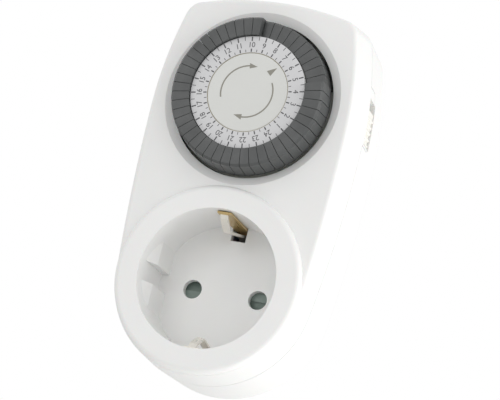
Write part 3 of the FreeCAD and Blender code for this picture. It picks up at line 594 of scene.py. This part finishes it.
# %% [markdown]
# The fixed disc. Two curved arrows show which way the dial is turned by hand, and a small triangle points
# at the present time. A bent tube could stand for an arrow, but print is flat, so each is a chain of short
# flat pieces with a head. An arrow is given by the angles of its start, its end and its tip. The disc
# stays still, so its print rides on the case.

# %% Arrows and pointer
ARROW_RADIUS = 7.5
ARROW_WIDTH = 0.40
ARROW_HEAD = 0.78
ARROW_STEP = 4.0
LEFT_ARROW = (198.5, 98.0, 80.8)
RIGHT_ARROW = (28.9, -90.0, -109.0)
RIGHT_ARROW_INSET = 0.35
POINTER_CORNERS = ((10.3, 49.3), (7.53, 45.2), (7.74, 58.5))


def arc_points(radius, start, end):
    steps = max(2, round(abs(end - start) / ARROW_STEP))
    return [polar(radius, start + (end - start) * i / steps) for i in range(steps + 1)]


def arrow(bm, radius, start, end, tip):
    half = ARROW_WIDTH / 2
    outer = arc_points(radius + half, start, end)
    inner = arc_points(radius - half, start, end)
    for i in range(len(outer) - 1):
        raised_outline(bm, [outer[i], outer[i + 1], inner[i + 1], inner[i]])
    raised_outline(bm, [polar(radius + ARROW_HEAD, end), polar(radius, tip), polar(radius - ARROW_HEAD, end)])


def hub_print():
    bm = bmesh.new()
    arrow(bm, ARROW_RADIUS, *LEFT_ARROW)
    arrow(bm, ARROW_RADIUS - RIGHT_ARROW_INSET, *RIGHT_ARROW)
    raised_outline(bm, [polar(radius, degrees) for radius, degrees in POINTER_CORNERS])
    return settle(mesh_object("hub_print", bm, "print_olive"), "case")


print("arrow faces:", len(hub_print().data.polygons))

# %% [markdown]
# Round the fixed disc runs a thin amber seam, where the disc stands in the turning ring and the light comes
# through the edge of its plastic. The gap alone would show as a grey line. A narrow ring in it, a little
# below the face, gives the warm line and leaves the two solids as they are.

# %% Seam round the disc
HUB_RADIUS = 11.2
SEAM_INNER = HUB_RADIUS + 0.01
SEAM_OUTER = HUB_RADIUS + 0.12
SEAM_FRONT = FACE_Y + 0.12
SEAM_BACK = FACE_Y + 0.9
SEAM_STEPS = 96


def flat_ring(name, inner, outer, y_front, y_back, surface):
    bm = bmesh.new()
    count = SEAM_STEPS
    rings = []
    for radius, y in ((inner, y_front), (outer, y_front), (outer, y_back), (inner, y_back)):
        rings.append([bm.verts.new(polar(radius, FULL_TURN * i / count, y)) for i in range(count)])
    for k in range(len(rings)):
        a, b = rings[k], rings[(k + 1) % len(rings)]
        for i in range(count):
            j = (i + 1) % count
            bm.faces.new((a[i], a[j], b[j], b[i]))
    return mesh_object(name, bm, surface)


seam = flat_ring("hub_seam", SEAM_INNER, SEAM_OUTER, SEAM_FRONT, SEAM_BACK, "seam_amber")
settle(seam, "case")
print("seam faces:", len(seam.data.polygons))

# %% [markdown]
# The coil, deep inside, is thin lacquered wire wound in layers. A helix would be truer, but at this size
# nobody sees where one turn passes into the next. So a node tree lays rings of wire side by side.

# %% Node tree for the coil
COIL_STEPS = 64
WIRE_STEPS = 8


def coil_tree():
    tree = bpy.data.node_groups.new("coil_turns", "GeometryNodeTree")
    for title in ("Coil Radius", "Wire Radius", "Pitch", "Start", "Across", "Up"):
        tree.interface.new_socket(title, in_out="INPUT", socket_type="NodeSocketFloat")
    tree.interface.new_socket("Turns", in_out="INPUT", socket_type="NodeSocketInt")
    tree.interface.new_socket("Surface", in_out="INPUT", socket_type="NodeSocketMaterial")
    tree.interface.new_socket("Geometry", in_out="OUTPUT", socket_type="NodeSocketGeometry")
    given = tree.nodes.new("NodeGroupInput").outputs
    loop = tree.nodes.new("GeometryNodeCurvePrimitiveCircle")
    loop.inputs["Resolution"].default_value = COIL_STEPS
    link_value(tree, given["Coil Radius"], loop, "Radius")
    section = tree.nodes.new("GeometryNodeCurvePrimitiveCircle")
    section.inputs["Resolution"].default_value = WIRE_STEPS
    link_value(tree, given["Wire Radius"], section, "Radius")
    ring = tree.nodes.new("GeometryNodeCurveToMesh")
    link_value(tree, loop.outputs[0], ring, "Curve")
    link_value(tree, section.outputs[0], ring, "Profile Curve")
    points = tree.nodes.new("GeometryNodePoints")
    link_value(tree, given["Turns"], points, "Count")
    index = tree.nodes.new("GeometryNodeInputIndex").outputs[0]
    place = tree.nodes.new("ShaderNodeCombineXYZ")
    link_value(tree, given["Across"], place, "X")
    level = math_node(tree, "ADD", math_node(tree, "MULTIPLY", index, given["Pitch"]), given["Start"])
    link_value(tree, level, place, "Y")
    link_value(tree, given["Up"], place, "Z")
    link_value(tree, place.outputs[0], points, "Position")
    spin = tree.nodes.new("ShaderNodeCombineXYZ")
    spin.inputs["X"].default_value = math.radians(90)
    lay = tree.nodes.new("GeometryNodeInstanceOnPoints")
    link_value(tree, points.outputs[0], lay, "Points")
    link_value(tree, ring.outputs[0], lay, "Instance")
    link_value(tree, spin.outputs[0], lay, "Rotation")
    real = tree.nodes.new("GeometryNodeRealizeInstances")
    link_value(tree, lay.outputs[0], real, 0)
    paint = tree.nodes.new("GeometryNodeSetMaterial")
    link_value(tree, real.outputs[0], paint, "Geometry")
    link_value(tree, given["Surface"], paint, "Material")
    out = tree.nodes.new("NodeGroupOutput")
    link_value(tree, paint.outputs[0], out, 0)
    return tree


print("faces on one wire ring:", COIL_STEPS * WIRE_STEPS)

# %% [markdown]
# Two layers of rings take the place of the solid coil. More layers could fill it, but only the outer ones
# can be seen. The pitch comes from the coil's own depth. Each wire is a little fatter than the pitch, so
# that neighbours touch and no gap shows, and the second layer lies inside the first.

# %% Coil turns
TURNS_IN_LAYER = 20
WIRE_SHARE = 0.52
LAYER_DROP = 1.7


def coil_turns():
    low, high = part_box("coil_winding")
    pitch = (high.y - low.y) / TURNS_IN_LAYER
    wire = pitch * WIRE_SHARE
    outer = (high.x - low.x) / 2
    tree = coil_tree()
    middle = (low + high) / 2
    made = []
    for layer, radius in enumerate((outer - wire, outer - wire - LAYER_DROP * wire)):
        coil = run_tree("coil_layer_%d" % (layer + 1), tree, {
            "Coil Radius": radius, "Wire Radius": wire, "Pitch": pitch, "Start": low.y + pitch / 2,
            "Across": middle.x, "Up": middle.z, "Turns": TURNS_IN_LAYER, "Surface": SURFACES["coil_wire"]})
        made.append(settle(coil, "case"))
    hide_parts("coil_winding")
    return TURNS_IN_LAYER * len(made)


print("wire rings:", coil_turns())

# %% [markdown]
# The object was lit as goods are for a catalogue, with soft light from several sides. One big panel would
# be less work, but it leaves the well too dark, so there are four discs aimed at the object. The key stands
# to the left, above and in front, and the dial throws its soft shadow to the right. The side panel whitens
# the right wall, the one below lifts the rounded bottom, and a weak fill from the right reaches the well.

# %% Soft panels
FRONT_TARGET = (0, -0.03, 0.03)
LOW_TARGET = (0, -0.03, 0.0)
PANELS = (
    ("key", (-0.38, -1.13, 0.31), FRONT_TARGET, 0.45, 0.95),
    ("side", (0.95, -0.10, 0.30), FRONT_TARGET, 0.6, 2.3),
    ("under", (0.25, 0.02, -0.42), LOW_TARGET, 0.5, 1.6),
    ("fill", (0.80, -0.75, 0.02), LOW_TARGET, 0.5, 0.55),
)


def soft_panel(name, place, target, size, power):
    light = bpy.data.lights.new(name, "AREA")
    light.shape = "DISK"
    light.size = size
    light.energy = power
    obj = bpy.data.objects.new(name, light)
    bpy.context.scene.collection.objects.link(obj)
    obj.location = place
    obj.rotation_euler = (Vector(target) - Vector(place)).to_track_quat("-Z", "Y").to_euler()


for panel in PANELS:
    soft_panel(*panel)
print("panels:", len(PANELS))

# %% [markdown]
# All round stands an even white. A real sweep of paper could be built behind the object, but it would
# need lights of its own. What the lens sees of the white directly is full white, as behind a cut-out
# picture, and what falls on the object is a little weaker, so that the white plastic keeps its shading.
# The floor is plain pale paper, far below the object, which hangs on its pins in use.

# %% White surround and floor
SURROUND_LIGHT = 0.80
FLOOR_LEVEL = -0.45
FLOOR_HALF = 1.6
FLOOR_CORNERS = ((-1, -1), (1, -1), (1, 1), (-1, 1))


def white_surround(light_strength):
    world = bpy.data.worlds.new("surround")
    world.use_nodes = True
    tree = world.node_tree
    background = tree.nodes["Background"]
    background.inputs["Color"].default_value = (1, 1, 1, 1)
    straight = tree.nodes.new("ShaderNodeLightPath").outputs["Is Camera Ray"]
    tree.links.new(math_node(tree, "MAXIMUM", straight, light_strength), background.inputs["Strength"])
    bpy.context.scene.world = world


def pale_floor(level, half):
    bm = bmesh.new()
    bm.faces.new([bm.verts.new((x * half, y * half, level)) for x, y in FLOOR_CORNERS])
    mesh = bpy.data.meshes.new("floor")
    bm.to_mesh(mesh)
    bm.free()
    obj = bpy.data.objects.new("floor", mesh)
    bpy.context.scene.collection.objects.link(obj)
    mesh.materials.append(plastic("floor_paper", (0.72, 0.72, 0.71), 0.8, 300.0))


white_surround(SURROUND_LIGHT)
pale_floor(FLOOR_LEVEL, FLOOR_HALF)
print("floor at", FLOOR_LEVEL, "m")

# %% [markdown]
# The photograph was taken from low on the right with a long lens. The camera could be moved by eye until
# the outlines meet, but a fit is closer: its place and its two directions come from the round outlines of
# the well and the dial, and are given as they came out. Standard view colours keep the white as it is.

# %% Camera
CAMERA_PLACE = Vector((206.2, -618.8, -120.6)) * MM
CAMERA_RIGHT = Vector((0.93550845, 0.26894806, 0.22910887))
CAMERA_UP = Vector((-0.14838132, -0.28942488, 0.94563007))
CAMERA_LENS = 167.75
SENSOR_WIDTH = 36.0
NEAREST = 0.01
FARTHEST = 20.0


def photo_camera():
    data = bpy.data.cameras.new("photo_camera")
    data.sensor_width = SENSOR_WIDTH
    data.lens = CAMERA_LENS
    data.clip_start = NEAREST
    data.clip_end = FARTHEST
    obj = bpy.data.objects.new("photo_camera", data)
    bpy.context.scene.collection.objects.link(obj)
    back = CAMERA_RIGHT.cross(CAMERA_UP)
    turn = Matrix((CAMERA_RIGHT, CAMERA_UP, back)).transposed().to_4x4()
    obj.matrix_world = Matrix.Translation(CAMERA_PLACE) @ turn
    bpy.context.scene.camera = obj


photo_camera()
bpy.context.scene.view_settings.view_transform = "Standard"
print("camera at", [round(v, 3) for v in bpy.context.scene.camera.location])
